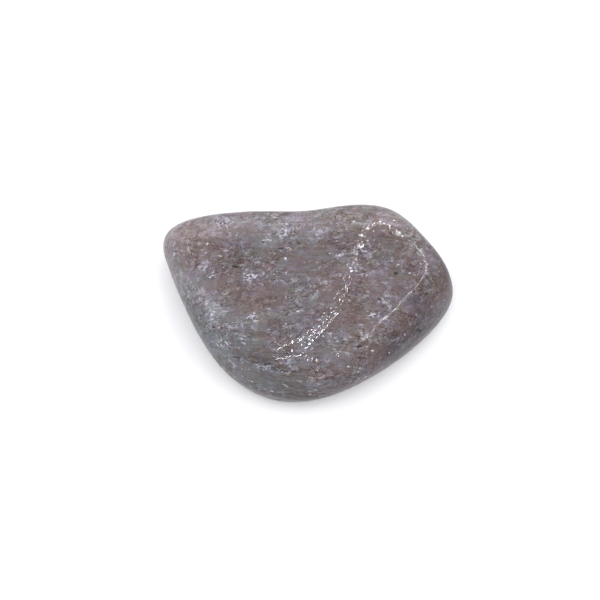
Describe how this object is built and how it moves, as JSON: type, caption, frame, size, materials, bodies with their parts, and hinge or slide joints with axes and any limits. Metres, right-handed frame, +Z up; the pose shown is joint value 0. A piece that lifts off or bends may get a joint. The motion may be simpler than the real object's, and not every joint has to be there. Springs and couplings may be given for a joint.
{
  "type": "tumbled aventurine stone",
  "caption": "Flattish tumbled aventurine pebble with one straight long side and rounded corners, worn smooth and polished, grey-brown with glints of mica; it lies on its broad side.",
  "frame": {"origin": "on the surface that the stone lies on, under the middle of its bounding box", "axes": "+X along the stone to its blunt end, +Y to its straight long side, +Z up"},
  "size_m": [0.032, 0.0236, 0.0086],
  "materials": {
    "polished_aventurine": "polished"
  },
  "bodies": {
    "root": {"aventurine_stone": "polished_aventurine"}
  },
  "joints": []
}
